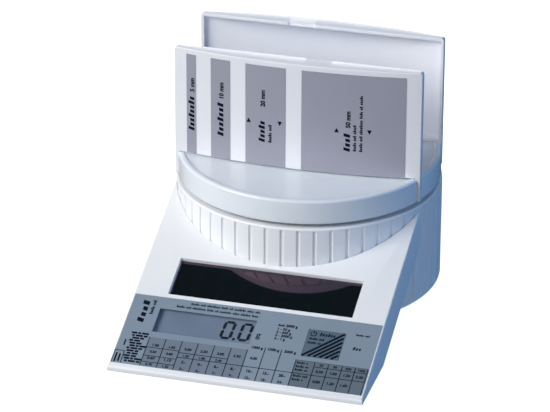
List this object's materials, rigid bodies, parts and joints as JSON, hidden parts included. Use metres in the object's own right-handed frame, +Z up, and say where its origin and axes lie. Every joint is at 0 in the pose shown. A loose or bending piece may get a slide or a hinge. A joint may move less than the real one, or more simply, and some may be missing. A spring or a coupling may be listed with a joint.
{
  "type": "letter scale",
  "caption": "Solar letter scale: ribbed round drum with weighing pan, upright letter gauge plates, and a sloping console with display, key and solar panel.",
  "frame": {"origin": "middle of the footprint, on the table", "axes": "+Z up, +Y from the console's front edge to the drum, +X to the right of someone reading the display"},
  "size_m": [0.1292, 0.1967, 0.1196],
  "materials": {
    "white_shell": "fine satin texture",
    "shell_underside": "satin",
    "pan_gloss": "polished",
    "plate_white": "semi-gloss",
    "strip_grey": "screen printed",
    "foil_silver": "satin printed film",
    "key_face": "satin printed film",
    "clear_window": "polished",
    "display_grey": "satin polariser",
    "reflector": "satin foil",
    "solar_black": "dark cell layer",
    "foot_rubber": "matt",
    "inner_plastic": "moulded",
    "contact_rubber": "striped silicone",
    "board_green": "solder resist",
    "chip_black": "epoxy",
    "capacitor_sleeve": "shrink sleeve",
    "component": "ceramic",
    "screw_steel": "zinc plated",
    "wire_sleeve": "insulation",
    "beam_aluminium": "machined",
    "gauge_coating": "silicone",
    "carrier_black": "glass-filled"
  },
  "bodies": {
    "housing": {"drum_shell": "white_shell", "console_shell": "white_shell", "drum_base": "shell_underside", "console_cover": "shell_underside", "label_foil": "foil_silver", "display_window": "clear_window", "solar_glass": "clear_window", "display_glass": "display_grey", "display_reflector": "reflector", "solar_cell": "solar_black", "rubber_feet": "foot_rubber", "display_holder": "inner_plastic", "cable_socket": "inner_plastic", "contact_strip": "contact_rubber", "main_board": "board_green", "chip_cover": "chip_black", "key_switch": "chip_black", "storage_capacitors": "capacitor_sleeve", "small_parts": "component", "base_screws": "screw_steel", "cover_screws": "screw_steel", "tongue_screws": "screw_steel", "board_screws": "screw_steel", "cell_screws": "screw_steel", "overload_stop": "screw_steel", "cell_mount": "screw_steel", "solar_leads": "wire_sleeve", "cell_cable": "wire_sleeve", "load_cell": "beam_aluminium", "strain_gauges": "gauge_coating"},
    "pan": {"weighing_pan": "pan_gloss", "pan_carrier": "carrier_black", "carrier_screws": "screw_steel", "pan_screws": "screw_steel"},
    "front_gauge": {"front_plate": "plate_white", "front_strips": "strip_grey"},
    "rear_gauge": {"rear_plate": "plate_white"},
    "key": {"key_pad": "key_face"}
  },
  "joints": [
    {"name": "pan_sink", "type": "slide", "parent": "housing", "child": "pan", "axis": [0, 0, -1], "range_m": [0, 0.0008], "stiffness_N_per_m": 25000, "deforming": ["load_cell"]},
    {"name": "front_plate_lift", "type": "slide", "parent": "pan", "child": "front_gauge", "axis": [0, 0, 1], "range_m": [0, 0.08]},
    {"name": "rear_plate_lift", "type": "slide", "parent": "pan", "child": "rear_gauge", "axis": [0, 0, 1], "range_m": [0, 0.08]},
    {"name": "key_press", "type": "slide", "parent": "housing", "child": "key", "axis": [0, 0.3859, -0.9225], "range_m": [0, 0.0004], "stiffness_N_per_m": 2500}
  ]
}
